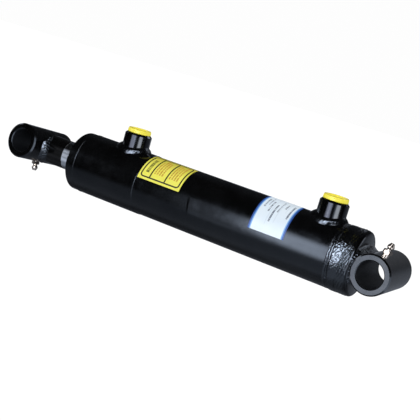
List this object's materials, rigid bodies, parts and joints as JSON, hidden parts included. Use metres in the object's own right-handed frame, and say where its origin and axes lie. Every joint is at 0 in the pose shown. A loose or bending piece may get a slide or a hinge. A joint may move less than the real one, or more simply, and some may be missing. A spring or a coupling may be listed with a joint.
{
  "type": "hydraulic cylinder",
  "caption": "Double-acting welded hydraulic cylinder with cross-tube pin eyes, threaded gland, plugged side ports and grease fittings; the rod slides out and turns.",
  "frame": {"origin": "centre of the base pin bore", "axes": "+X along the barrel towards the rod end, +Z towards the side the ports point to, +Y along the base pin"},
  "size_m": [0.4509, 0.0732, 0.0859],
  "materials": {
    "black_paint": "gloss",
    "rod_chrome": "polished",
    "bare_steel": "satin",
    "fitting_zinc": "satin",
    "seal_polyurethane": "satin",
    "nitrile": "matte",
    "guide_ring": "matte",
    "backup_ring": "matte",
    "plug_yellow": "satin",
    "label_yellow": "satin",
    "label_white": "satin"
  },
  "bodies": {
    "barrel": {"barrel_tube": "black_paint", "head_collar": "black_paint", "base_cap": "black_paint", "barrel_base_weld": "black_paint", "base_cross_tube": "black_paint", "base_eye_weld": "black_paint", "base_port_boss": "black_paint", "rod_port_boss": "black_paint", "base_port_weld": "black_paint", "rod_port_weld": "black_paint", "gland": "black_paint", "gland_o_ring": "nitrile", "gland_backup_ring": "backup_ring", "rod_seal": "seal_polyurethane", "rod_wear_ring": "guide_ring", "rod_wiper": "nitrile", "base_grease_fitting": "fitting_zinc", "base_grease_spring": "bare_steel", "yellow_label": "label_yellow", "white_label": "label_white"},
    "base_port_plug": {"base_port_plug": "plug_yellow"},
    "rod_port_plug": {"rod_port_plug": "plug_yellow"},
    "base_grease_ball": {"base_grease_ball": "bare_steel"},
    "piston_seals": {"piston_seal": "seal_polyurethane", "piston_energizer": "nitrile", "piston_wear_ring": "guide_ring"},
    "rod_assembly": {"piston": "bare_steel", "piston_o_ring": "nitrile", "piston_nut": "bare_steel", "rod": "rod_chrome", "rod_cross_tube": "black_paint", "rod_eye_weld": "black_paint", "rod_grease_fitting": "fitting_zinc", "rod_grease_spring": "bare_steel"},
    "rod_grease_ball": {"rod_grease_ball": "bare_steel"}
  },
  "joints": [
    {"name": "stroke", "type": "slide", "parent": "barrel", "child": "piston_seals", "axis": [1, 0, 0], "range_m": [0, 0.2032]},
    {"name": "rod_spin", "type": "hinge", "parent": "piston_seals", "child": "rod_assembly", "pos_m": [0, 0, 0], "axis": [1, 0, 0], "continuous": true},
    {"name": "base_port_plug_pull", "type": "slide", "parent": "barrel", "child": "base_port_plug", "axis": [0, 0, 1], "range_m": [0, 0.025]},
    {"name": "rod_port_plug_pull", "type": "slide", "parent": "barrel", "child": "rod_port_plug", "axis": [0, 0, 1], "range_m": [0, 0.025]},
    {"name": "base_grease_check", "type": "slide", "parent": "barrel", "child": "base_grease_ball", "axis": [0.2588, 0, -0.9659], "range_m": [0, 0.0007], "stiffness_N_per_m": 50, "springref_m": -0.002},
    {"name": "rod_grease_check", "type": "slide", "parent": "rod_assembly", "child": "rod_grease_ball", "axis": [0.1392, -0.1035, 0.9848], "range_m": [0, 0.0007], "stiffness_N_per_m": 50, "springref_m": -0.002}
  ]
}
